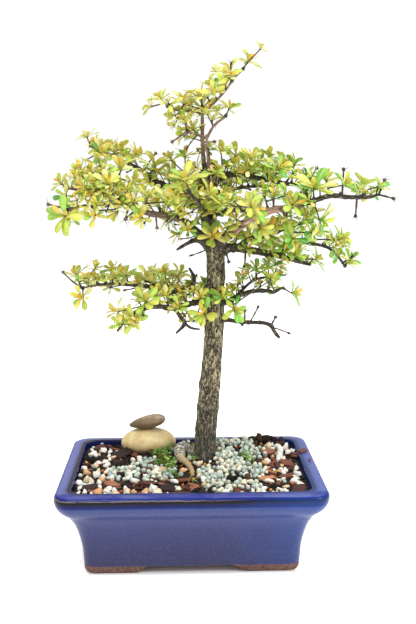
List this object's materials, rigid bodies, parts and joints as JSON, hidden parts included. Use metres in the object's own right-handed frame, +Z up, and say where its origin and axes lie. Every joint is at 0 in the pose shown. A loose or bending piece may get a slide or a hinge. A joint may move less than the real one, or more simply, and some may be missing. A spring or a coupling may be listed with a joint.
{
  "type": "black olive bonsai",
  "caption": "Small tiered bonsai tree with spiny twigs and rosettes of small leaves, in a rectangular glazed pot on low feet, with soil, stacked pebbles and moss.",
  "frame": {"origin": "the middle of the object's box, on the table under the pot's feet", "axes": "+Z up, +X to the right of the pot's long front side, +Y away from the viewer"},
  "size_m": [0.2666, 0.1514, 0.4096],
  "materials": {
    "glazed_clay": "gloss",
    "potting_soil": "matte",
    "screen_plastic": "matte",
    "bark": "matte",
    "leaf": "satin",
    "moss": "matte",
    "pale_stone": "matte",
    "brown_stone": "matte"
  },
  "bodies": {
    "root": {"drain_screen_left": "screen_plastic", "drain_screen_right": "screen_plastic", "lower_stone": "pale_stone", "moss_cushion": "moss", "pot": "glazed_clay", "shoot_apex_left_1": "leaf", "shoot_apex_left_2": "leaf", "shoot_apex_right_1": "leaf", "shoot_apex_right_2": "leaf", "shoot_apex_right_3": "leaf", "shoot_back_left_1": "leaf", "shoot_back_right_1": "leaf", "shoot_front_right_1": "leaf", "shoot_front_up_1": "leaf", "shoot_front_up_2": "leaf", "shoot_leader_1": "leaf", "shoot_leader_two_left_1": "leaf", "shoot_leader_two_right_1": "leaf", "shoot_left_low_1": "leaf", "shoot_left_low_2": "leaf", "shoot_left_lower_1": "leaf", "shoot_left_lower_back_1": "leaf", "shoot_left_lower_up_1": "leaf", "shoot_left_lower_up_2": "leaf", "shoot_left_lower_up_3": "leaf", "shoot_left_main_1": "leaf", "shoot_left_main_2": "leaf", "shoot_left_main_3": "leaf", "shoot_left_main_4": "leaf", "shoot_left_top_1": "leaf", "shoot_left_top_2": "leaf", "shoot_left_top_3": "leaf", "shoot_left_top_4": "leaf", "shoot_left_up_1": "leaf", "shoot_left_up_2": "leaf", "shoot_left_up_3": "leaf", "shoot_right_lower_1": "leaf", "shoot_right_lower_2": "leaf", "shoot_right_lower_up_1": "leaf", "shoot_right_main_1": "leaf", "shoot_right_main_2": "leaf", "shoot_right_main_3": "leaf", "shoot_right_main_4": "leaf", "shoot_right_main_5": "leaf", "shoot_right_main_6": "leaf", "shoot_right_mid_1": "leaf", "shoot_right_mid_2": "leaf", "shoot_right_mid_side_1": "leaf", "shoot_right_mid_side_2": "leaf", "shoot_right_mid_up_1": "leaf", "shoot_right_top_1": "leaf", "shoot_right_top_2": "leaf", "shoot_right_top_3": "leaf", "shoot_right_top_4": "leaf", "shoot_right_top_5": "leaf", "shoot_trunk_1": "leaf", "shoot_trunk_2": "leaf", "soil": "potting_soil", "trunk": "bark", "upper_stone": "brown_stone"}
  },
  "joints": []
}
